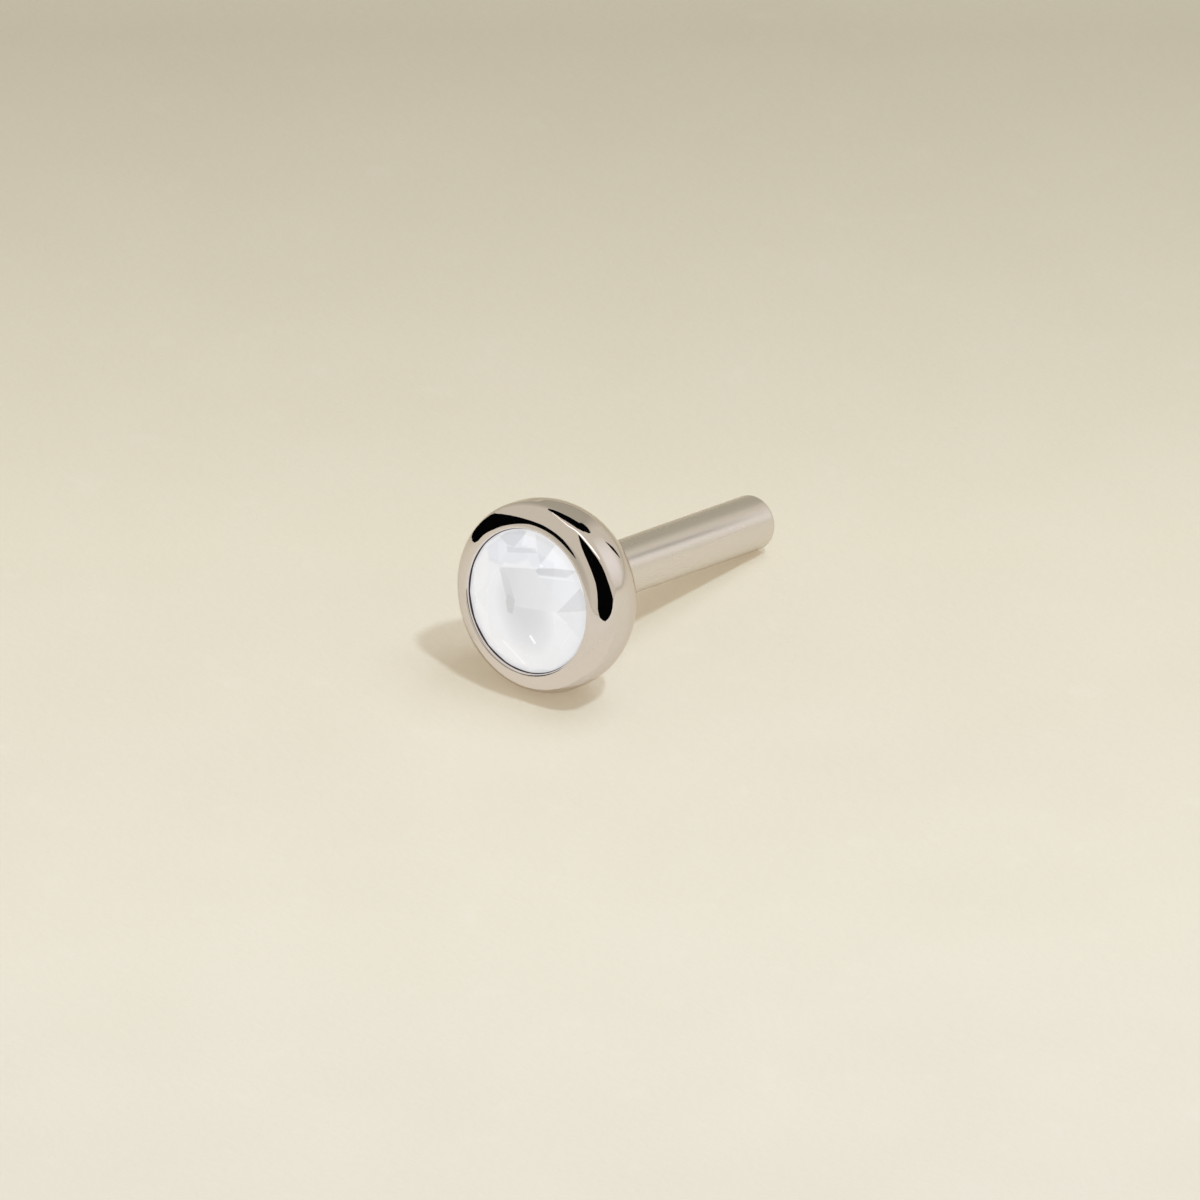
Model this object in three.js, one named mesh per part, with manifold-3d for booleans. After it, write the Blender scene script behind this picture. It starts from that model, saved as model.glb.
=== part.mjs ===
// Diamond stud earring, in millimetres: a round brilliant held by a rolled bezel of white gold on
// a thick straight post. It lies on a level surface as it would by itself, on the side of the bezel
// and the far end of the post, with the stone facing -Y and a little up and the post running to +Y.
// The origin is on that surface, under the middle of the stud.

import * as THREE from "three";
import { mergeVertices } from "three/addons/utils/BufferGeometryUtils.js";
import Module from "manifold-3d";

// Driving dimensions: distances along the stud run back from the rim line, where the crown of the
// stone comes out of the bezel, towards the end of the post.

// The turned metal has flat sides. The edge between two of them is almost under the axis, where the
// stud comes to rest when it rolls a little.
const ROUND_SIDES = 40;
const REST_TURN = THREE.MathUtils.degToRad(2.25);

const BEZEL_RADIUS = 2.1;
const OPENING_RADIUS = 1.6;
const LIP_ROLL = 0.5;
const LIP_ROLL_BACK = 0.4;
const LIP_EDGE = 0.06;
const SIDE_ROUND = 1.3;
const SIDE_ROUND_BACK = 0.6;
const SIDE_ROUND_SWEEP = THREE.MathUtils.degToRad(40);
const BACK_EDGE = 0.25;

const POST_RADIUS = 0.6;
const POST_END_BACK = 7.95;
const POST_EDGE = 0.15;

const GIRDLE_RADIUS = 1.65;
const GIRDLE_THICKNESS = 0.08;
const GIRDLE_BACK = 0.04;
const TABLE_RADIUS = 0.94;
const CROWN_HEIGHT = 0.35;
const PAVILION_DEPTH = 1.42;
const STAR_TIP_RADIUS = 1.26;
const LOWER_TIP_RADIUS = 0.36;
const MAIN_FACETS = 8;
const STONE_TURN = THREE.MathUtils.degToRad(34);

// Side of the block that takes the waste off each facet, larger than the stone
const WASTE_BLOCK = 10;

const STONE_GAP = 0.03;
const LIP_UNDERSIDE_LIFT = 0.03;
const SEAT_DROP = 0.08;

// Steps along each round of the profile
const LIP_EDGE_STEPS = 4;
const LIP_ROLL_STEPS = 9;
const SIDE_STEPS = 7;
const BACK_EDGE_STEPS = 4;
const POST_EDGE_STEPS = 4;

// Quarter turns, used to name where a round starts and ends
const OUTWARD = 0;
const BACKWARD = Math.PI / 2;
const INWARD = Math.PI;
const FULL_TURN = Math.PI * 2;

const WHITE_GOLD = { color: "#c8bfb0", roughness: 0.22, metalness: 1 };
const CLEAR_STONE = { color: "#eef0f2", roughness: 0.05, metalness: 0 };

const wasm = await Module();
wasm.setup();

// A point of the turned profile: its radius, and how far back from the rim line it is
function at(radius, back) {
  return new THREE.Vector2(radius, -back);
}

// Points of a round: angles start straight outward and turn towards the back
function roundCorner(centre, size, start, end, steps) {
  return Array.from({ length: steps + 1 }, (_, step) => {
    const angle = start + ((end - start) * step) / steps;
    return at(centre.radius + size * Math.cos(angle), centre.back + size * Math.sin(angle));
  });
}

// The inside of the bezel: a cone under the pavilion, a groove round the girdle, and the underside
// of the lip, which follows the crown. All of it stays just clear of the stone.
function seatProfile() {
  const girdleBottom = GIRDLE_BACK + GIRDLE_THICKNESS;
  const slope = PAVILION_DEPTH / GIRDLE_RADIUS;
  const grooveRadius = GIRDLE_RADIUS + STONE_GAP;
  const pit = girdleBottom + PAVILION_DEPTH + SEAT_DROP;
  const crownSlope = CROWN_HEIGHT / (GIRDLE_RADIUS - TABLE_RADIUS);
  const undersideRise = (grooveRadius - OPENING_RADIUS) * crownSlope;
  return [
    at(0, pit),
    at(grooveRadius, pit - grooveRadius * slope),
    at(grooveRadius, undersideRise - LIP_UNDERSIDE_LIFT),
    at(OPENING_RADIUS, -LIP_UNDERSIDE_LIFT),
  ];
}

// The outside of the bezel: the lip's fine inner edge, its rolled front, the full side that draws
// in towards the back, and a flat back with a rounded edge
function bezelProfile() {
  const roll = { radius: BEZEL_RADIUS - LIP_ROLL, back: LIP_ROLL_BACK };
  const edgeRadius = OPENING_RADIUS + LIP_EDGE;
  const edgeReach = Math.sqrt((LIP_ROLL - LIP_EDGE) ** 2 - (edgeRadius - roll.radius) ** 2);
  const edge = { radius: edgeRadius, back: roll.back - edgeReach };
  const meet = FULL_TURN + Math.atan2(edge.back - roll.back, edge.radius - roll.radius);
  const side = { radius: BEZEL_RADIUS - SIDE_ROUND, back: SIDE_ROUND_BACK };
  const corner = {
    radius: side.radius + (SIDE_ROUND - BACK_EDGE) * Math.cos(SIDE_ROUND_SWEEP),
    back: side.back + (SIDE_ROUND - BACK_EDGE) * Math.sin(SIDE_ROUND_SWEEP),
  };
  return [
    ...roundCorner(edge, LIP_EDGE, INWARD, meet, LIP_EDGE_STEPS),
    ...roundCorner(roll, LIP_ROLL, meet, FULL_TURN, LIP_ROLL_STEPS).slice(1),
    ...roundCorner(side, SIDE_ROUND, OUTWARD, SIDE_ROUND_SWEEP, SIDE_STEPS),
    ...roundCorner(corner, BACK_EDGE, SIDE_ROUND_SWEEP, BACKWARD, BACK_EDGE_STEPS).slice(1),
  ];
}

// The post: straight from the bezel's back to a slightly rounded end
function postProfile(bezelBack) {
  const edge = { radius: POST_RADIUS - POST_EDGE, back: POST_END_BACK - POST_EDGE };
  return [
    at(POST_RADIUS, bezelBack),
    ...roundCorner(edge, POST_EDGE, OUTWARD, BACKWARD, POST_EDGE_STEPS),
  ];
}

// The soldered metal is one turned solid
function bezelAndPost(head, post) {
  const profile = [...seatProfile(), ...head, ...post, at(0, POST_END_BACK)];
  const geometry = new THREE.LatheGeometry(profile.reverse(), ROUND_SIDES, REST_TURN, FULL_TURN);
  const mesh = new THREE.Mesh(geometry, new THREE.MeshStandardMaterial(WHITE_GOLD));
  mesh.name = "bezel_and_post";
  return mesh;
}

// A three.js geometry as a closed solid that can be cut
function solidFrom(geometry) {
  geometry.deleteAttribute("normal");
  geometry.deleteAttribute("uv");
  const merged = mergeVertices(geometry);
  const shape = new wasm.Mesh({
    numProp: 3,
    vertProperties: new Float32Array(merged.attributes.position.array),
    triVerts: new Uint32Array(merged.index.array),
  });
  return new wasm.Manifold(shape);
}

// The solid's surface as a three.js geometry
function geometryFrom(solid) {
  const shape = solid.getMesh();
  const geometry = new THREE.BufferGeometry();
  geometry.setAttribute("position", new THREE.BufferAttribute(shape.vertProperties, 3));
  geometry.setIndex(new THREE.BufferAttribute(shape.triVerts, 1));
  geometry.computeVertexNormals();
  return geometry;
}

// One tier of facets round the stone. Each is a plane through a high and a low point, given by their
// distance from the axis along the facet's own direction and their height over the girdle's middle.
function facetTier(count, firstAngle, inner, outer) {
  const slope = Math.atan2(Math.abs(inner.height - outer.height), outer.reach - inner.reach);
  const lean = inner.height > outer.height ? slope : Math.PI - slope;
  return Array.from({ length: count }, (_, index) => {
    const angle = firstAngle + (index * FULL_TURN) / count;
    const waste = new THREE.BoxGeometry(WASTE_BLOCK, WASTE_BLOCK, WASTE_BLOCK);
    waste.translate(0, WASTE_BLOCK / 2, 0);
    waste.rotateX(lean);
    waste.translate(0, outer.height, outer.reach);
    waste.rotateY(angle);
    return waste;
  });
}

// The flat top of the stone
function tableCut(height) {
  const waste = new THREE.BoxGeometry(WASTE_BLOCK, WASTE_BLOCK, WASTE_BLOCK);
  waste.translate(0, height + WASTE_BLOCK / 2, 0);
  return waste;
}

// The brilliant, cut as a cutter does: table, mains, stars and upper girdle facets on the crown,
// then mains and lower girdle facets down to the point
function diamond() {
  const top = GIRDLE_THICKNESS / 2;
  const tableHeight = top + CROWN_HEIGHT;
  const pointHeight = -top - PAVILION_DEPTH;
  const half = Math.PI / MAIN_FACETS;
  const quarter = half / 2;
  const crownSlope = CROWN_HEIGHT / (GIRDLE_RADIUS - TABLE_RADIUS);
  const pavilionSlope = PAVILION_DEPTH / GIRDLE_RADIUS;
  const starTip = top + (GIRDLE_RADIUS - STAR_TIP_RADIUS * Math.cos(half)) * crownSlope;
  const lowerTip = -top - (GIRDLE_RADIUS - LOWER_TIP_RADIUS * Math.cos(half)) * pavilionSlope;
  const rimReach = GIRDLE_RADIUS * Math.cos(quarter);
  const cuts = [
    tableCut(tableHeight),
    ...facetTier(
      MAIN_FACETS,
      0,
      { reach: TABLE_RADIUS, height: tableHeight },
      { reach: GIRDLE_RADIUS, height: top },
    ),
    ...facetTier(
      MAIN_FACETS,
      half,
      { reach: TABLE_RADIUS * Math.cos(half), height: tableHeight },
      { reach: STAR_TIP_RADIUS, height: starTip },
    ),
    ...facetTier(
      MAIN_FACETS * 2,
      quarter,
      { reach: STAR_TIP_RADIUS * Math.cos(quarter), height: starTip },
      { reach: rimReach, height: top },
    ),
    ...facetTier(
      MAIN_FACETS,
      0,
      { reach: 0, height: pointHeight },
      { reach: GIRDLE_RADIUS, height: -top },
    ),
    ...facetTier(
      MAIN_FACETS * 2,
      quarter,
      { reach: LOWER_TIP_RADIUS * Math.cos(quarter), height: lowerTip },
      { reach: rimReach, height: -top },
    ),
  ];
  const roughHeight = 2 * GIRDLE_RADIUS;
  const rough = new THREE.CylinderGeometry(GIRDLE_RADIUS, GIRDLE_RADIUS, roughHeight, ROUND_SIDES);
  const stone = cuts.reduce((left, cut) => left.subtract(solidFrom(cut)), solidFrom(rough));
  const material = new THREE.MeshStandardMaterial({ ...CLEAR_STONE, flatShading: true });
  const mesh = new THREE.Mesh(geometryFrom(stone), material);
  mesh.name = "diamond";
  mesh.position.y = -GIRDLE_BACK - GIRDLE_THICKNESS / 2;
  mesh.rotation.y = STONE_TURN;
  return mesh;
}

// How far the stud tips forward when both the bezel's side and the post's end touch the surface:
// the line that touches the two profiles from below, along the lowest edge of the turned sides
function restingTilt(head, post) {
  const drop = Math.cos(REST_TURN);
  const slope = (high, low) => (drop * (high.x - low.x)) / (high.y - low.y);
  const reach = (low) => Math.max(...head.map((high) => slope(high, low)));
  return Math.atan(Math.min(...post.map(reach)));
}

// The stud lying on the surface, with its lowest points at height zero
function lyingStud() {
  const head = bezelProfile();
  const post = postProfile(-head.at(-1).y);
  const stud = new THREE.Group();
  stud.name = "stud";
  stud.add(bezelAndPost(head, post), diamond());
  stud.rotation.x = Math.PI - restingTilt(head, post);
  stud.updateMatrixWorld(true);
  const box = new THREE.Box3().setFromObject(stud, true);
  const centre = box.getCenter(new THREE.Vector3());
  stud.position.set(-centre.x, -centre.y, -box.min.z);
  const earring = new THREE.Group();
  earring.name = "diamond_stud_earring";
  earring.add(stud);
  return earring;
}

export default lyingStud();
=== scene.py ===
import math

import bmesh
import bpy
from mathutils import Matrix, Vector


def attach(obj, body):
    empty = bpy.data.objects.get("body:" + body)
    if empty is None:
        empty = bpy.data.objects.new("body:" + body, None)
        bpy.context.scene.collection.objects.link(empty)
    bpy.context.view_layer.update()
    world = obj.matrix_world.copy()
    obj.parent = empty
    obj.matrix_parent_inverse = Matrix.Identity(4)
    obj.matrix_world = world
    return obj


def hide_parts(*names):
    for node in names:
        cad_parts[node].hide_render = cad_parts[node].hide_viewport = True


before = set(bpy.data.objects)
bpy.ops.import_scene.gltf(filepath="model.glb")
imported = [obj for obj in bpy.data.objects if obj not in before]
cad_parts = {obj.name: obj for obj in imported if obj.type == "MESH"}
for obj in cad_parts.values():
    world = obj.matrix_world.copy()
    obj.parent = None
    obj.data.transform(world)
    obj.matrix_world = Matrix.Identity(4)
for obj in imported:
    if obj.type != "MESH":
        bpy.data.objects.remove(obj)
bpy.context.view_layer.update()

MM = 0.001

# How the stud lies: the middle of the stone's rim, and how far the stone faces up
RIM_MIDDLE = Vector((0, -3.6882, 2.2070)) * MM
TILT = math.radians(11.9737)
LYING = (
    Matrix.Translation(RIM_MIDDLE)
    @ Matrix.Rotation(math.pi / 2 - TILT, 4, "X")
    @ Matrix.Diagonal((MM, MM, MM, 1))
)

# The turned metal, in millimetres: radii, and distances back from the rim line
BEZEL_RADIUS = 2.1
OPENING_RADIUS = 1.592
LIP_ROLL = 0.5
LIP_ROLL_BACK = 0.4
LIP_EDGE = 0.06
SIDE_ROUND = 1.3
SIDE_ROUND_BACK = 0.6
SIDE_ROUND_SWEEP = math.radians(40)
BACK_EDGE = 0.25
GROOVE_RADIUS = 1.68
GROOVE_FRONT = 0.009
GROOVE_BACK = 0.174
SEAT_PIT = 1.62
LIP_FOOT_RADIUS = 1.576
LIP_FOOT_LIFT = 0.003
LIP_WALL_LIFT = 0.03
POST_RADIUS = 0.6
POST_END_BACK = 7.95
POST_EDGE = 0.15
SOLDER_FILLET = 0.09
MERGE_WITHIN = 0.00001
SHARP_CORNER = math.radians(35)

# How many flats each round is turned with
TURNING_STEPS = 256
LIP_EDGE_STEPS = 12
LIP_ROLL_STEPS = 48
SIDE_STEPS = 28
BACK_EDGE_STEPS = 16
FILLET_STEPS = 12
POST_EDGE_STEPS = 18

# The finishes on the metal, in the order of its material slots
POLISHED = 0
SATIN = 1
# The next finish is painted shade: a near-black finish on the seat and groove under the stone
SEAT_SHADE = 2

# Quarter turns, used to name where a round starts and ends
OUTWARD = 0
BACKWARD = math.pi / 2
INWARD = math.pi
FULL_TURN = math.pi * 2

BLACK = (0, 0, 0, 1)


class Signal:
    """What a socket gives. Sums and products of signals add their own Math nodes."""

    def __init__(self, finish, socket):
        self.finish = finish
        self.socket = socket

    def __add__(self, other):
        return self.finish.maths("ADD", self, other)

    __radd__ = __add__

    def __sub__(self, other):
        return self.finish.maths("SUBTRACT", self, other)

    def __rsub__(self, other):
        return self.finish.maths("SUBTRACT", other, self)

    def __mul__(self, other):
        return self.finish.maths("MULTIPLY", self, other)

    __rmul__ = __mul__


class Finish:
    """A material, and the nodes that make it."""

    def __init__(self, name):
        self.material = bpy.data.materials.new(name)
        self.material.use_nodes = True
        self.tree = self.material.node_tree
        self.tree.nodes.clear()

    def node(self, kind, settings, sockets, out=0):
        made = self.tree.nodes.new(kind)
        for name, value in settings.items():
            if name == "stops":
                self.set_stops(made.color_ramp, value)
            else:
                setattr(made, name, value)
        for name, value in sockets.items():
            if isinstance(value, Signal):
                self.tree.links.new(value.socket, made.inputs[name])
            else:
                made.inputs[name].default_value = value
        return Signal(self, made.outputs[out]) if made.outputs else None

    def set_stops(self, ramp, stops):
        ramp.elements[0].position = stops[0][0]
        ramp.elements[1].position = stops[-1][0]
        for position, _ in stops[1:-1]:
            ramp.elements.new(position)
        for element, (_, colour) in zip(ramp.elements, stops):
            element.color = (*colour, 1)

    def maths(self, operation, first, second):
        return self.node("ShaderNodeMath", {"operation": operation}, {0: first, 1: second})

    def clamped(self, value):
        return self.node("ShaderNodeClamp", {}, {"Value": value})

    def blend(self, factor, low, high):
        return self.node("ShaderNodeMix", {"data_type": "FLOAT"}, {0: factor, 2: low, 3: high})

    def between(self, factor, low, high):
        return self.node("ShaderNodeMix", {"data_type": "RGBA"}, {0: factor, 6: low, 7: high}, 2)

    def along(self, vector, direction):
        settings = {"operation": "DOT_PRODUCT"}
        return self.node("ShaderNodeVectorMath", settings, {0: vector, 1: direction}, "Value")

    def scaled(self, vector, scale):
        return self.node("ShaderNodeVectorMath", {"operation": "MULTIPLY"}, {0: vector, 1: scale})

    def place(self):
        return self.node("ShaderNodeTexCoord", {}, {}, "Object")

    def on_stud(self):
        """Millimetres on the stud: X to the right, Y up the stone's face and Z out of it"""
        turn = {
            "Vector": self.place(),
            "Location": RIM_MIDDLE,
            "Rotation": (math.pi / 2 - TILT, 0, 0),
            "Scale": (MM, MM, MM),
        }
        return self.node("ShaderNodeMapping", {"vector_type": "TEXTURE"}, turn)

    def noise(self, vector, scale, detail):
        sockets = {"Vector": vector, "Scale": scale, "Detail": detail}
        return self.node("ShaderNodeTexNoise", {}, sockets)

    def bump(self, height, depth):
        sockets = {"Height": height, "Distance": depth, "Strength": 1.0}
        return self.node("ShaderNodeBump", {}, sockets, "Normal")

    def surface(self, sockets):
        shader = self.node("ShaderNodeBsdfPrincipled", {}, sockets, "BSDF")
        self.node("ShaderNodeOutputMaterial", {}, {"Surface": shader})
        return self.material


def profile_round(bm, centre, size, start, end, steps):
    """A round of a turned profile, swept from one point; angles run from outward to the back"""
    radius, back = centre
    first = bm.verts.new((radius + size * math.cos(start), 0, -back - size * math.sin(start)))
    swept = bmesh.ops.spin(
        bm,
        geom=[first],
        cent=(radius, 0, -back),
        axis=(0, 1, 0),
        angle=end - start,
        steps=steps,
    )
    last = next(item for item in swept["geom_last"] if isinstance(item, bmesh.types.BMVert))
    return first, last


def profile_corner(bm, radius, back):
    corner = bm.verts.new((radius, 0, -back))
    return corner, corner


def turned_solid(bm, runs):
    """Joins the runs of a profile and turns it round the stud's axis"""
    for (_, last), (first, _) in zip(runs, runs[1:]):
        bm.edges.new((last, first))
    bmesh.ops.spin(
        bm,
        geom=bm.verts[:] + bm.edges[:],
        cent=(0, 0, 0),
        axis=(0, 0, 1),
        angle=FULL_TURN,
        steps=TURNING_STEPS,
        use_merge=True,
    )
    bmesh.ops.remove_doubles(bm, verts=bm.verts, dist=MERGE_WITHIN)
    bmesh.ops.recalc_face_normals(bm, faces=bm.faces)


def finished(name, bm):
    mesh = bpy.data.meshes.new(name)
    bm.to_mesh(mesh)
    bm.free()
    mesh.shade_smooth()
    mesh.set_sharp_from_angle(angle=SHARP_CORNER)
    piece = bpy.data.objects.new(name, mesh)
    bpy.context.scene.collection.objects.link(piece)
    return piece


def back_edge_centre():
    reach = SIDE_ROUND - BACK_EDGE
    return (
        BEZEL_RADIUS - SIDE_ROUND + reach * math.cos(SIDE_ROUND_SWEEP),
        SIDE_ROUND_BACK + reach * math.sin(SIDE_ROUND_SWEEP),
    )


BEZEL_BACK = back_edge_centre()[1] + BACK_EDGE


def bezel_runs(bm):
    """The seat under the stone, the lip's edge and roll, the full side and the back's edge"""
    roll = (BEZEL_RADIUS - LIP_ROLL, LIP_ROLL_BACK)
    side = (BEZEL_RADIUS - SIDE_ROUND, SIDE_ROUND_BACK)
    edge_radius = OPENING_RADIUS + LIP_EDGE
    edge_reach = math.sqrt((LIP_ROLL - LIP_EDGE) ** 2 - (edge_radius - roll[0]) ** 2)
    edge = (edge_radius, roll[1] - edge_reach)
    meet = FULL_TURN + math.atan2(edge[1] - roll[1], edge[0] - roll[0])
    return [
        profile_corner(bm, 0, SEAT_PIT),
        profile_corner(bm, GROOVE_RADIUS, GROOVE_BACK),
        profile_corner(bm, GROOVE_RADIUS, GROOVE_FRONT),
        profile_corner(bm, LIP_FOOT_RADIUS, -LIP_FOOT_LIFT),
        profile_round(bm, edge, LIP_EDGE, INWARD, meet, LIP_EDGE_STEPS),
        profile_round(bm, roll, LIP_ROLL, meet, FULL_TURN, LIP_ROLL_STEPS),
        profile_round(bm, side, SIDE_ROUND, OUTWARD, SIDE_ROUND_SWEEP, SIDE_STEPS),
        profile_round(
            bm, back_edge_centre(), BACK_EDGE, SIDE_ROUND_SWEEP, BACKWARD, BACK_EDGE_STEPS
        ),
    ]


def post_runs(bm):
    """The solder fillet on the bezel's flat back, and the straight post with its rounded end"""
    fillet = (POST_RADIUS + SOLDER_FILLET, BEZEL_BACK + SOLDER_FILLET)
    end = (POST_RADIUS - POST_EDGE, POST_END_BACK - POST_EDGE)
    return [
        profile_round(bm, fillet, SOLDER_FILLET, -BACKWARD, -INWARD, FILLET_STEPS),
        profile_round(bm, end, POST_EDGE, OUTWARD, BACKWARD, POST_EDGE_STEPS),
        profile_corner(bm, 0, POST_END_BACK),
    ]


# White gold: its tint where it is seen edge on, and its patterns' scales and depths in metres
EDGE_TINT = (0.86, 0.83, 0.78, 1)
RIPPLE_SCALE = 700.0
RIPPLE_DEPTH = 0.000003
HAZE_SCALE = 9000.0
GRAIN_SCALE = (60, 60, 5)
GRAIN_DEPTH = 0.0000004
WANDER_SCALE = (2.5, 2.5, 0.26)
# The scale of the random mottle in the seat's painted shade
SHADE_MOTTLE_SCALE = 16000.0


def polished_gold():
    """The bezel's bright polish, with a faint ripple and haze"""
    finish = Finish("polished_white_gold")
    place = finish.place()
    ripple = finish.noise(place, RIPPLE_SCALE, 1.0)
    haze = finish.noise(place, HAZE_SCALE, 3.0)
    return finish.surface(
        {
            "Base Color": finish.between(haze, (0.745, 0.697, 0.695, 1), (0.78, 0.732, 0.725, 1)),
            "Metallic": 1.0,
            "Roughness": haze * 0.02 + 0.018,
            "Specular Tint": EDGE_TINT,
            "Normal": finish.bump(ripple, RIPPLE_DEPTH),
        }
    )


def satin_gold():
    """The post's fine grain, which runs along it"""
    finish = Finish("satin_white_gold")
    stud = finish.on_stud()
    grain = finish.noise(finish.scaled(stud, GRAIN_SCALE), 1.0, 2.0)
    wander = finish.noise(finish.scaled(stud, WANDER_SCALE), 1.0, 1.0)
    return finish.surface(
        {
            "Base Color": finish.between(grain, (0.74, 0.70, 0.68, 1), (0.84, 0.80, 0.78, 1)),
            "Metallic": 1.0,
            "Roughness": wander * 0.06 + 0.25,
            "Specular Tint": EDGE_TINT,
            "Normal": finish.bump(grain, GRAIN_DEPTH),
        }
    )


def painted_seat_shade_gold():
    """Painted shade: a near-black finish on the seat and groove under the stone, which stands in
    for the shade in that gap, with a random mottle
    """
    finish = Finish("painted_seat_shade_white_gold")
    shade_mottle = finish.noise(finish.place(), SHADE_MOTTLE_SCALE, 3.0)
    return finish.surface(
        {
            "Base Color": finish.between(shade_mottle, (0.006, 0.004, 0.003, 1), (0.11, 0.08, 0.058, 1)),
            "Roughness": 0.7,
            "Specular IOR Level": 0.1,
        }
    )


# How far the facets inside the stone lean, sideways and up its face, for each millimetre of depth
FACET_LEAN = Vector((0.7013, 0.4770))

# The softness of a facet's edge, the painted shade in the middle of the pavilion and the painted
# shade on the stone's rim
FACET_EDGE = 0.025
PAVILION_MIDDLE = Vector((-0.06, -0.27))
PAVILION_LONG = Vector((0.693, -0.721)) / 0.73
PAVILION_SHORT = Vector((0.767, 0.640)) / 0.55
PAVILION_TONES = (0.688, 0.850)
PAVILION_RISE = 0.55
PAVILION_FLAT = 0.05
RIM_RADIUS = 1.573
RIM_BLUR = 0.03
RIM_TONE = 0.05

# The faint clouding in the stone, its painted glow, as it glows though it is no lamp, and how
# strongly diamond bends light
CLOUD_SCALE = 2.2
CLOUD_TONE = 0.05
STONE_GLOW = 0.68
DIAMOND_IOR = 2.417

# The facets seen in the stone, painted as reflections, the last two as painted highlights: tones at
# the left and the right, and corners anticlockwise in millimetres
FACETS = (
    (0.688, 0.855, (
        (-0.70, 0.17), (-0.35, -0.25), (0.77, -0.00), (1.29, 0.74), (1.18, 0.87), (0.06, 0.76),
        (-0.83, 0.49),
    )),
    (0.879, 0.879, ((-1.14, -0.20), (-1.11, -0.20), (-0.94, 0.38), (-0.97, 0.38))),
    (0.879, 0.879, ((-1.02, -0.70), (-0.99, -0.70), (-1.11, -0.20), (-1.14, -0.20))),
    (0.697, 0.638, (
        (-0.76, 0.22), (-0.60, -0.12), (-0.44, -0.30), (-0.34, -0.14), (-0.60, 0.30),
        (-0.89, 0.50),
    )),
    (0.605, 0.605, (
        (-0.59, -0.21), (-0.50, -0.43), (-0.37, -0.44), (-0.35, -0.22), (-0.39, -0.09),
        (-0.56, -0.03),
    )),
    (0.888, 0.888, ((-0.91, 0.51), (-0.72, 0.83), (-0.77, 1.10), (-1.00, 1.03))),
    (0.865, 0.850, ((-0.91, 0.51), (0.08, 0.76), (0.05, 1.12), (-0.73, 0.87))),
    (0.760, 0.745, (
        (-0.76, 1.04), (-0.56, 1.05), (-0.28, 1.52), (-0.53, 1.47), (-0.82, 1.31),
        (-0.96, 1.14),
    )),
    (0.765, 0.755, ((-0.73, 0.87), (0.06, 1.12), (-0.02, 1.21), (-0.76, 1.00))),
    (0.860, 0.860, ((-0.57, 1.03), (-0.03, 1.21), (-0.06, 1.46), (-0.25, 1.54))),
    (0.767, 0.767, (
        (0.06, 1.13), (0.17, 0.92), (0.29, 1.09), (0.49, 1.45), (0.22, 1.51), (-0.06, 1.51),
    )),
    (0.908, 0.888, ((0.21, 0.94), (0.35, 0.88), (1.16, 1.10), (0.82, 1.33), (0.49, 1.45))),
    (0.638, 0.749, (
        (0.16, 0.66), (0.90, 0.85), (1.14, 1.08), (0.53, 0.93), (0.12, 0.79), (0.07, 0.71),
    )),
    (0.879, 0.879, (
        (0.18, 0.61), (0.57, 0.69), (1.15, 0.84), (1.18, 0.87), (0.90, 0.82), (0.18, 0.64),
    )),
    (0.705, 0.714, ((0.77, -0.01), (1.53, 0.29), (1.46, 0.56), (1.29, 0.74))),
    (0.794, 0.813, ((0.77, -0.01), (1.46, -0.38), (1.56, 0.05), (1.53, 0.29))),
    (0.888, 0.888, ((1.06, -0.17), (1.08, -0.14), (0.69, -0.04), (0.66, -0.05))),
    (0.938, 0.938, ((0.12, -1.44), (0.14, -1.41), (-0.52, -1.08), (-0.53, -1.11))),
    (0.879, 0.879, ((0.97, -0.72), (1.00, -0.73), (1.26, -0.27), (1.23, -0.27))),
    (1.45, 1.45, ((0.31, -0.885), (0.335, -0.86), (0.185, -0.735), (0.145, -0.765))),
    (1.192, 1.192, ((0.20, 0.84), (0.26, 0.89), (0.19, 0.91), (0.15, 0.87))),
)


def leaning(across):
    """A direction across the stone's face, leaning with depth as the facets do"""
    return (across.x, across.y, -across.dot(FACET_LEAN))


def within_facet(finish, stud, corners):
    """1 inside a facet with these corners, and 0 outside it"""
    nearest = None
    for start, end in zip(corners, corners[1:] + corners[:1]):
        side = (Vector(end) - Vector(start)).normalized()
        inward = Vector((-side.y, side.x)) / FACET_EDGE
        depth = finish.along(stud, leaning(inward)) + (0.5 - inward.dot(Vector(start)))
        nearest = depth if nearest is None else finish.maths("MINIMUM", nearest, depth)
    return finish.clamped(nearest)


def facet_tone(finish, stud, left, right, corners):
    """A facet's own tone, even or running from its left to its right"""
    if left == right:
        return left
    near = min(x for x, _ in corners)
    far = max(x for x, _ in corners)
    across = finish.along(stud, leaning(Vector((1 / (far - near), 0)))) - near / (far - near)
    return finish.blend(finish.clamped(across), left, right)


def rim_shade(finish, stud):
    """1 on the thin line of the stone's edge that the lip is pressed onto, which is painted as
    shade
    """
    x, y = finish.along(stud, (1, 0, 0)), finish.along(stud, (0, 1, 0))
    return finish.clamped((x * x + y * y) * (1 / RIM_BLUR) - RIM_RADIUS**2 / RIM_BLUR)


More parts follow.
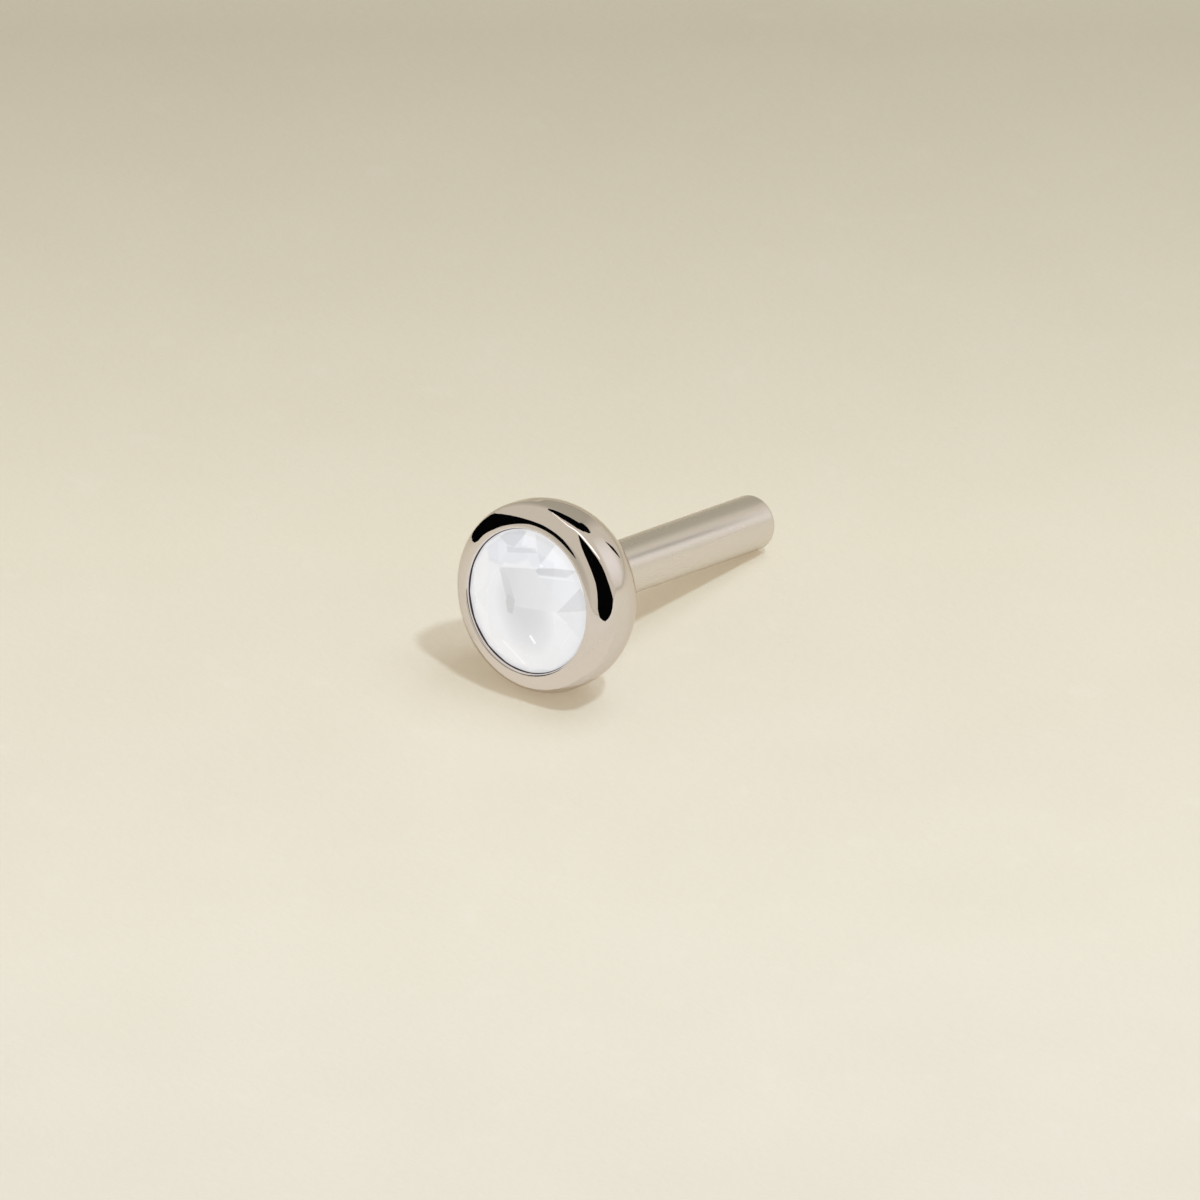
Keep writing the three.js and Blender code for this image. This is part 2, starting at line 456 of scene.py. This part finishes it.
def diamond_tone(finish, stud):
    """The stone's painted reflections: light and dark facets and two painted highlights, over a
    pavilion painted darkest in its middle, with painted shade on the rim
    """
    long = finish.along(stud, leaning(PAVILION_LONG)) - PAVILION_LONG.dot(PAVILION_MIDDLE)
    short = finish.along(stud, leaning(PAVILION_SHORT)) - PAVILION_SHORT.dot(PAVILION_MIDDLE)
    rise = finish.clamped((long * long + short * short) * PAVILION_RISE - PAVILION_FLAT)
    tone = finish.blend(rise, *PAVILION_TONES)
    for left, right, corners in FACETS:
        own = facet_tone(finish, stud, left, right, corners)
        tone = finish.blend(within_facet(finish, stud, corners), tone, own)
    tone = tone + (finish.noise(stud, CLOUD_SCALE, 3.0) - 0.5) * CLOUD_TONE
    return finish.blend(rim_shade(finish, stud), tone, RIM_TONE)


# The stone's reflections, highlights and shade are painted into its Base Color and Emission Color,
# and it glows though it is no lamp
def diamond_with_painted_light():
    finish = Finish("diamond_with_painted_light")
    tone = diamond_tone(finish, finish.on_stud())
    return finish.surface(
        {
            "Base Color": finish.between(tone, BLACK, (0.385, 0.405, 0.475, 1)),
            "Roughness": 0.03,
            "IOR": DIAMOND_IOR,
            "Specular IOR Level": 0.3,
            "Emission Color": finish.between(tone, BLACK, (0.99, 1.0, 1.03, 1)),
            "Emission Strength": STONE_GLOW,
        }
    )


# The sweep of pale paper, with a painted light fall-off: its colour by how far back each line
# across it lies, in metres
PAPER_PAINTED_FALLOFF = (
    (-0.025, (0.814, 0.775, 0.682)),
    (-0.014, (0.837, 0.787, 0.684)),
    (0.003, (0.785, 0.729, 0.603)),
    (0.025, (0.532, 0.485, 0.380)),
    (0.060, (0.700, 0.656, 0.531)),
)
AWAY = Vector((-0.6235, 0.782, 0))
PAPER_CLOUD_SCALE = 260.0
FLECK_SCALE = 900.0
FIBRE_SCALE = 4200.0
FIBRE_DEPTH = 0.00002


def pale_paper():
    """Paper with a painted light fall-off, soft clouds, pale flecks and a fine fibre"""
    finish = Finish("pale_paper")
    place = finish.place()
    near, far = PAPER_PAINTED_FALLOFF[0][0], PAPER_PAINTED_FALLOFF[-1][0]
    stops = [((line - near) / (far - near), colour) for line, colour in PAPER_PAINTED_FALLOFF]
    across = (finish.along(place, AWAY) - near) * (1 / (far - near))
    shade = finish.node("ShaderNodeValToRGB", {"stops": stops}, {"Fac": across}, "Color")
    clouds = finish.noise(place, PAPER_CLOUD_SCALE, 5.0)
    flecks = finish.clamped(finish.noise(place, FLECK_SCALE, 3.0) * 6 - 3.7)
    fibre = finish.noise(place, FIBRE_SCALE, 5.0)
    flecked = finish.between(flecks * 0.5, (0.985, 0.985, 0.985, 1), (1.03, 1.035, 1.06, 1))
    clouded = finish.between(clouds, (0.972, 0.970, 0.967, 1), (1.028, 1.031, 1.053, 1))
    return finish.surface(
        {
            "Base Color": finish.scaled(shade, finish.scaled(flecked, clouded)),
            "Roughness": 0.85,
            "Specular IOR Level": 0.2,
            "Normal": finish.bump(fibre, FIBRE_DEPTH),
        }
    )


def glow(name, colour):
    """What a card shows of itself in the metal's polish"""
    finish = Finish(name)
    return finish.surface(
        {
            "Base Color": BLACK,
            "Roughness": 1.0,
            "Specular IOR Level": 0.0,
            "Emission Color": (*colour, 1),
            "Emission Strength": 1.0,
        }
    )


# Cards round the stud, which its polish mirrors: bent strips, rung by rung, in millimetres
LEFT_CARD = (
    (
        (-10.0, -0.5, 0.9), (-10.3, -1.3, 1.2), (-10.4, -2.0, 1.4), (-10.5, -2.6, 1.6),
        (-10.6, -3.3, 1.8),
    ),
    (
        (-9.6, 0.3, 0.6), (-10.4, -1.7, 1.6), (-10.6, -3.4, 2.0), (-10.5, -4.9, 2.2),
        (-10.2, -6.1, 2.2),
    ),
    (
        (-9.3, 0.8, 0.6), (-10.5, -2.3, 2.1), (-10.5, -4.7, 2.6), (-10.0, -6.6, 2.6),
        (-9.3, -8.1, 2.3),
    ),
    (
        (-9.7, 1.1, 0.9), (-11.0, -2.6, 2.7), (-10.8, -5.4, 3.1), (-10.1, -7.6, 2.9),
        (-9.0, -9.3, 2.4),
    ),
    (
        (-10.1, 1.5, 1.3), (-11.4, -2.4, 3.3), (-11.3, -5.4, 3.7), (-10.5, -7.8, 3.4),
        (-9.4, -9.5, 2.7),
    ),
    (
        (-10.7, 1.5, 2.0), (-11.9, -2.5, 4.0), (-11.6, -5.7, 4.4), (-10.7, -8.1, 3.9),
        (-9.6, -10.0, 3.1),
    ),
    (
        (-11.3, 1.4, 3.0), (-12.2, -2.8, 5.0), (-11.8, -6.1, 5.2), (-10.8, -8.8, 4.5),
        (-9.5, -10.7, 3.3),
    ),
    (
        (-12.0, 0.7, 4.4), (-12.4, -3.5, 6.1), (-11.8, -7.0, 6.0), (-10.7, -9.7, 5.0),
        (-9.3, -11.6, 3.4),
    ),
    (
        (-12.5, -3.2, 7.4), (-12.1, -6.3, 7.4), (-11.3, -8.7, 6.7), (-10.3, -10.8, 5.4),
        (-9.2, -12.2, 3.8),
    ),
    (
        (-11.2, -6.7, 8.8), (-10.7, -8.7, 8.0), (-10.1, -10.3, 6.9), (-9.4, -11.6, 5.6),
        (-8.6, -12.5, 4.1),
    ),
    (
        (-9.6, -9.2, 9.3), (-9.3, -10.3, 8.3), (-8.9, -11.3, 7.2), (-8.5, -12.2, 5.9),
        (-8.2, -12.7, 4.8),
    ),
    (
        (-8.1, -10.7, 9.4), (-8.0, -11.4, 8.5), (-8.0, -11.9, 7.6), (-7.8, -12.4, 6.6),
        (-7.7, -12.7, 5.6),
    ),
    (
        (-6.8, -11.5, 9.7), (-7.0, -11.8, 9.1), (-7.1, -12.2, 8.2), (-7.1, -12.6, 7.3),
        (-7.2, -12.8, 6.5),
    ),
    (
        (-5.6, -11.9, 10.2), (-5.8, -12.3, 9.3), (-6.1, -12.7, 8.4), (-6.3, -12.9, 7.7),
        (-6.4, -13.1, 6.8),
    ),
    (
        (-4.4, -12.4, 10.3), (-4.7, -12.7, 9.5), (-5.0, -13.0, 8.8), (-5.2, -13.3, 8.0),
        (-5.4, -13.5, 7.2),
    ),
    (
        (-3.2, -12.8, 10.4), (-3.5, -13.1, 9.6), (-3.8, -13.4, 9.0), (-4.1, -13.6, 8.2),
        (-4.4, -13.8, 7.4),
    ),
    (
        (-2.0, -13.1, 10.3), (-2.4, -13.5, 9.5), (-2.7, -13.8, 8.8), (-3.0, -14.0, 8.1),
        (-3.4, -14.1, 7.3),
    ),
    (
        (-1.2, -13.7, 9.6), (-1.6, -13.9, 9.0), (-1.9, -14.2, 8.4), (-2.3, -14.3, 7.8),
        (-2.6, -14.4, 7.1),
    ),
    (
        (-0.5, -14.2, 8.8), (-0.9, -14.3, 8.4), (-1.2, -14.5, 7.9), (-1.4, -14.5, 7.6),
        (-1.8, -14.6, 7.1),
    ),
    (
        (-0.4, -14.6, 7.8), (-0.5, -14.6, 7.6), (-0.6, -14.7, 7.4), (-0.7, -14.7, 7.4),
        (-0.8, -14.7, 7.3),
    ),
)
BACK_CARD = (
    ((-6.5, 3.7, 11.8), (-6.3, 3.2, 12.2), (-6.3, 2.5, 12.7), (-6.1, 2.0, 13.1)),
    ((-5.2, 4.6, 11.7), (-5.0, 3.6, 12.8), (-4.8, 2.5, 13.6), (-4.7, 1.3, 14.2)),
    ((-3.5, 5.6, 11.7), (-3.1, 4.1, 13.2), (-2.8, 2.3, 14.4), (-2.5, 0.6, 15.1)),
    ((-2.1, 6.7, 10.7), (-1.4, 5.0, 12.8), (-0.8, 3.4, 14.1), (-0.4, 1.4, 15.2)),
    ((-1.1, 7.6, 9.5), (-0.1, 6.4, 11.5), (0.7, 4.5, 13.4), (1.3, 2.5, 14.7)),
    ((0.2, 7.7, 9.6), (0.6, 7.3, 10.3), (1.5, 6.0, 11.9), (2.1, 4.5, 13.2)),
    ((1.5, 7.6, 9.6), (1.5, 7.6, 9.7), (1.6, 7.4, 9.9), (1.7, 7.3, 10.2)),
)
RIGHT_CARD = (
    ((2.8, -1.8, 15.7), (2.9, -1.6, 15.7), (2.9, -1.4, 15.6), (3.0, -1.1, 15.6)),
    ((3.8, -5.2, 15.4), (4.0, -4.0, 15.5), (4.1, -2.7, 15.5), (4.1, -1.5, 15.4)),
    ((4.5, -7.9, 14.3), (5.1, -5.8, 14.8), (5.5, -3.7, 15.0), (5.6, -1.3, 14.8)),
    ((5.4, -9.7, 13.0), (6.5, -7.2, 13.8), (7.2, -4.2, 14.1), (7.5, -1.0, 13.8)),
    ((6.4, -10.8, 11.5), (8.1, -7.9, 12.4), (9.2, -4.1, 12.7), (9.4, 0.0, 12.0)),
    ((7.5, -11.5, 9.9), (9.5, -8.4, 10.8), (10.9, -4.2, 10.9), (10.9, 0.5, 10.0)),
    ((8.4, -11.8, 8.5), (10.7, -8.7, 9.1), (12.2, -4.4, 9.0), (12.3, 0.4, 7.8)),
    ((8.6, -12.6, 6.8), (11.4, -9.3, 7.3), (13.1, -4.5, 7.0), (12.8, 0.9, 5.6)),
    ((8.3, -13.4, 5.1), (11.7, -9.8, 5.5), (13.7, -4.5, 5.0), (13.0, 1.5, 3.3)),
    ((7.8, -13.9, 3.5), (11.4, -10.8, 3.8), (13.7, -5.8, 3.4), (13.6, -0.1, 2.1)),
    ((9.3, -13.0, 2.1), (12.1, -10.0, 2.2), (13.6, -6.3, 1.9), (13.9, -2.0, 1.2)),
    ((11.4, -11.0, 1.3), (12.6, -9.0, 1.2), (13.4, -6.9, 1.0), (13.8, -4.9, 0.7)),
    ((12.9, -8.3, 0.6), (12.9, -8.2, 0.6), (13.0, -8.0, 0.6), (13.0, -7.9, 0.6)),
)
THIN_CARD = (
    ((3.2, 8.4, 7.9), (3.3, 8.4, 7.9)),
    ((2.9, 8.9, 6.5), (3.6, 8.6, 7.2)),
    ((2.8, 9.2, 5.1), (4.0, 8.8, 6.2)),
    ((3.0, 9.4, 4.1), (3.9, 9.1, 4.9)),
    ((3.3, 9.3, 3.4), (3.6, 9.3, 3.6)),
)
# A card of lit paper's colour lying on the paper under the ring, which only the polish shows: a
# painted reflection of lit paper where the ring's shadow falls
LIT_PAPER_REFLECTION = (
    ((-2.5, -6.5, 0.01), (-2.5, -4.1, 0.01)),
    ((1.8, -6.5, 0.01), (1.8, -4.0, 0.01)),
    ((3.0, -6.5, 0.01), (2.9, -2.9, 0.01)),
    ((5.5, -6.5, 0.01), (4.6, -1.4, 0.01)),
)
LAMP_EDGE = (
    ((-5.13, 1.15, 14.08), (-5.13, 1.52, 13.92)),
    ((-2.60, -1.28, 15.58), (-2.65, -0.86, 15.50)),
    ((-0.42, -2.25, 15.98), (-0.44, -1.38, 15.89)),
    ((1.57, -0.88, 15.76), (1.51, 0.20, 15.52)),
    ((3.21, -0.63, 15.45), (3.05, 0.90, 15.06)),
    ((5.13, -0.66, 14.88), (4.97, 0.79, 14.53)),
    ((6.61, -0.39, 14.13), (6.40, 1.27, 13.68)),
    ((7.97, 0.33, 13.06), (7.77, 1.64, 12.64)),
    ((9.11, 1.57, 11.54), (8.96, 2.10, 11.36)),
)


def hide_from(piece, rays):
    for ray in rays:
        setattr(piece, "visible_" + ray, False)


def card(name, rungs, colour):
    """A bent strip through a few lines, which only the polish of the stud shows"""
    bm = bmesh.new()
    lines = []
    for line in zip(*rungs):
        corners = [bm.verts.new(Vector(corner) * MM) for corner in line]
        lines.append([bm.edges.new(ends) for ends in zip(corners, corners[1:])])
    for line, following in zip(lines, lines[1:]):
        bmesh.ops.bridge_loops(bm, edges=line + following)
    piece = finished(name, bm)
    piece.data.materials.append(glow(name, colour))
    hide_from(piece, ("camera", "diffuse", "transmission", "volume_scatter", "shadow"))


VELVET = (0.0015, 0.0015, 0.0015)
LIT_PAPER = (0.84, 0.775, 0.64)
LAMP_WHITE = (1.7, 1.65, 1.6)


def cards():
    card("left_card", LEFT_CARD, VELVET)
    card("right_card", RIGHT_CARD, VELVET)
    card("back_card", BACK_CARD, VELVET)
    card("thin_card", THIN_CARD, VELVET)
    # A painted reflection of lit paper over the ring's shadow
    card("painted_paper_reflection", LIT_PAPER_REFLECTION, LIT_PAPER)
    card("lamp_edge", LAMP_EDGE, LAMP_WHITE)


def toward(azimuth, height):
    """The way to a point of the tent: degrees round from the front, and degrees up"""
    round_to, up = math.radians(azimuth), math.radians(height)
    level = Vector((math.sin(round_to), -math.cos(round_to), 0)) * math.cos(up)
    return level + Vector((0, 0, math.sin(up)))


# The tent: its patches by their middle and the angles in degrees at which they are full and gone
TENT_RADIUS = 1.2
BACK_SHADE = (toward(-156, 12), 20, 42)
BACK_SHADE_LIMIT = (toward(-73.6, 23.6), 85, 93)
FRONT_SHADE = (toward(-12, 17), 4, 22)
FRONT_SHADE_SHARE = 0.75
SOFT_GLOW = (toward(151, 19), 3, 22)
CLOTH_LIT = (0.714, 0.66, 0.545, 1)
CLOTH_SHADED = (0.47, 0.44, 0.355, 1)
CLOTH_BRIGHT = (0.96, 0.915, 0.845, 1)


def patch(finish, way, middle, full, none):
    """1 within an angle of a point of the tent, and 0 beyond a wider one"""
    near, far = math.cos(math.radians(full)), math.cos(math.radians(none))
    return finish.clamped(finish.along(way, middle / (near - far)) - far / (near - far))


def tent_cloth():
    finish = Finish("tent_cloth")
    way = finish.scaled(finish.place(), (1 / TENT_RADIUS,) * 3)
    behind = patch(finish, way, *BACK_SHADE) * patch(finish, way, *BACK_SHADE_LIMIT)
    in_front = patch(finish, way, *FRONT_SHADE) * FRONT_SHADE_SHARE
    cloth = finish.between(finish.clamped(behind + in_front), CLOTH_LIT, CLOTH_SHADED)
    bright = patch(finish, way, *SOFT_GLOW)
    return finish.surface(
        {
            "Base Color": BLACK,
            "Roughness": 1.0,
            "Specular IOR Level": 0.0,
            "Emission Color": finish.between(bright, cloth, CLOTH_BRIGHT),
            "Emission Strength": 1.0,
        }
    )


def tent():
    """The pale cloth round the set, which the polish shows"""
    bm = bmesh.new()
    bmesh.ops.create_icosphere(bm, subdivisions=5, radius=TENT_RADIUS)
    piece = finished("tent", bm)
    piece.data.materials.append(tent_cloth())
    hide_from(piece, ("diffuse", "transmission", "volume_scatter", "shadow"))


PAPER_HALF_WIDTH = 1.5


def floor():
    bm = bmesh.new()
    bmesh.ops.create_grid(bm, x_segments=2, y_segments=2, size=PAPER_HALF_WIDTH)
    piece = finished("paper_sweep", bm)
    piece.data.materials.append(pale_paper())


def area_light(name, place, size, target, watts, colour):
    lamp = bpy.data.lights.new(name, "AREA")
    lamp.shape = "RECTANGLE"
    lamp.size, lamp.size_y = size
    lamp.energy = watts
    lamp.color = colour
    holder = bpy.data.objects.new(name, lamp)
    holder.location = place
    aim = Vector(target) - Vector(place)
    holder.rotation_euler = aim.to_track_quat("-Z", "Y").to_euler()
    holder.visible_glossy = False
    bpy.context.scene.collection.objects.link(holder)
    return lamp


# Each lamp: its name, place, size, what it points at, watts and colour
LAMPS = (
    (
        "side_lamp",
        (0.225, 0.012, 0.5), (0.042, 0.042), (0, 0, 0),
        0.92, (0.742, 0.889, 1.0),
    ),
    (
        "soft_box",
        (0.125, 0.2625, 0.5), (0.38, 0.275), (0.125, 0.2625, 0),
        0.76, (0.733, 0.855, 1.0),
    ),
)
SHADOWLESS_FILL = ("fill", (0, 0, 0.55), (0.3, 0.3), (0, 0, 0), 1.034, (1.0, 0.907, 0.816))
ROOM_LIGHT = (0.3675, 0.3354, 0.2727, 1)


def studio_light():
    world = bpy.data.worlds.new("studio")
    bpy.context.scene.world = world
    world.use_nodes = True
    background = world.node_tree.nodes["Background"]
    background.inputs["Color"].default_value = ROOM_LIGHT
    background.inputs["Strength"].default_value = 1.0
    for lamp in LAMPS:
        area_light(*lamp)
    area_light(*SHADOWLESS_FILL).use_shadow = False


# The photo's view: the way back to the camera, the middle of the frame beside the stone and above
# it in millimetres, the frame's width there, and the camera's distance
VIEW_BACK = Vector((0.535, -0.671, 0.514))
FRAME_MIDDLE = (1.522, 0.018)
FRAME_WIDTH = 25.59 * MM
CAMERA_DISTANCE = 0.9


def camera():
    back = VIEW_BACK.normalized()
    right = Vector((0, 0, 1)).cross(back).normalized()
    up = back.cross(right)
    middle = RIM_MIDDLE + (right * FRAME_MIDDLE[0] + up * FRAME_MIDDLE[1]) * MM
    lens = bpy.data.cameras.new("camera")
    lens.sensor_width = 36
    lens.lens = lens.sensor_width * CAMERA_DISTANCE / FRAME_WIDTH
    lens.clip_start = 0.01
    lens.clip_end = 10
    holder = bpy.data.objects.new("camera", lens)
    turn = Matrix((right, up, back)).transposed().to_4x4()
    holder.matrix_world = Matrix.Translation(middle + back * CAMERA_DISTANCE) @ turn
    bpy.context.scene.collection.objects.link(holder)
    bpy.context.scene.camera = holder


def metal_finish(middle, normal):
    """Satin behind the solder, painted shade where it faces the stone, and polished elsewhere"""
    if -middle.z > BEZEL_BACK + SOLDER_FILLET:
        return SATIN
    faces_stone = normal.dot(Vector((middle.x, middle.y, 0))) < 0
    return SEAT_SHADE if faces_stone and middle.z < LIP_WALL_LIFT else POLISHED


def metal():
    """One turned piece: the bezel, its seat and the post soldered to it"""
    bm = bmesh.new()
    turned_solid(bm, bezel_runs(bm) + post_runs(bm))
    for face in bm.faces:
        face.material_index = metal_finish(face.calc_center_median(), face.normal)
    bmesh.ops.transform(bm, matrix=LYING, verts=bm.verts)
    piece = finished("turned_bezel_and_post", bm)
    for gold in (polished_gold(), satin_gold(), painted_seat_shade_gold()):
        piece.data.materials.append(gold)
    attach(piece, "root")
    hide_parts("bezel_and_post")


def stone():
    """The cut stone keeps its own facets, and only gets its finish"""
    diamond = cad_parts["diamond"]
    diamond.data.materials.clear()
    diamond.data.materials.append(diamond_with_painted_light())


metal()
stone()
floor()
tent()
cards()
studio_light()
camera()
bpy.context.scene.view_settings.view_transform = "Standard"
